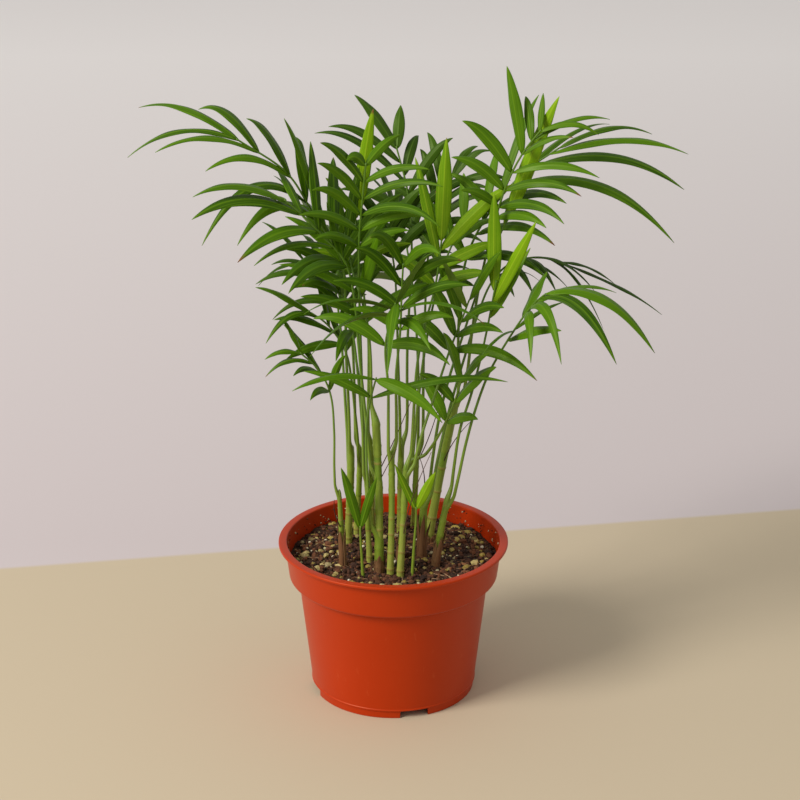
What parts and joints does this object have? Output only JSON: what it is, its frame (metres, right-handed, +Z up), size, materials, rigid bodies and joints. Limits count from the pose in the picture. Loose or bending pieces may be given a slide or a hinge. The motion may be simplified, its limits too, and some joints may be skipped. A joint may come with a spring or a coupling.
{
  "type": "potted parlour palm",
  "caption": "Young feather-leaved palm standing in its tapered plastic nursery pot: a clump of slender canes with arching pinnate fronds, rooted in bark and perlite soil.",
  "frame": {"origin": "on the surface that the pot stands on, under the middle of the pot", "axes": "+Z up along the pot's axis; -Y toward the side of the plant that is seen from the front; +X to the right seen from there"},
  "size_m": [0.376, 0.2313, 0.461],
  "materials": {
    "pot_plastic": "satin injection-moulded polypropylene",
    "soil": "loose damp peat with bark and perlite",
    "cane_green": "smooth satin living cane",
    "cane_sheathed": "dry fibrous leaf sheath",
    "leaf_young": "satin leaf",
    "leaf_mature": "satin leaf",
    "leaf_old": "satin leaf"
  },
  "bodies": {
    "root": {"cane_01": "cane_sheathed", "cane_02": "cane_green", "cane_03": "cane_green", "cane_04": "cane_green", "cane_05": "cane_green", "cane_06": "cane_green", "cane_07": "cane_sheathed", "cane_08": "cane_green", "cane_09": "cane_sheathed", "cane_10": "cane_green", "cane_11": "cane_green", "cane_12": "cane_green", "cane_13": "cane_green", "cane_14": "cane_green", "frond_back_left": "leaf_old", "frond_back_middle": "leaf_old", "frond_back_right": "leaf_old", "frond_centre": "leaf_mature", "frond_centre_back": "leaf_old", "frond_centre_bright": "leaf_young", "frond_centre_left": "leaf_mature", "frond_centre_right": "leaf_mature", "frond_far_right": "leaf_mature", "frond_front": "leaf_mature", "frond_front_low": "leaf_mature", "frond_half_open": "leaf_young", "frond_inner_left": "leaf_mature", "frond_left_back": "leaf_old", "frond_left_low": "leaf_mature", "frond_low_far_left": "leaf_mature", "frond_lower_right": "leaf_mature", "frond_mid_left": "leaf_mature", "frond_mid_upright": "leaf_mature", "frond_new_right": "leaf_young", "frond_right_back": "leaf_old", "frond_right_inner": "leaf_mature", "frond_right_low": "leaf_mature", "frond_spear_back": "leaf_young", "frond_tall_left": "leaf_mature", "frond_top_back": "leaf_old", "frond_upper_left": "leaf_mature", "frond_upper_right": "leaf_mature", "pot": "pot_plastic", "seedling_left": "leaf_mature", "seedling_right": "leaf_young", "soil": "soil"}
  },
  "joints": []
}
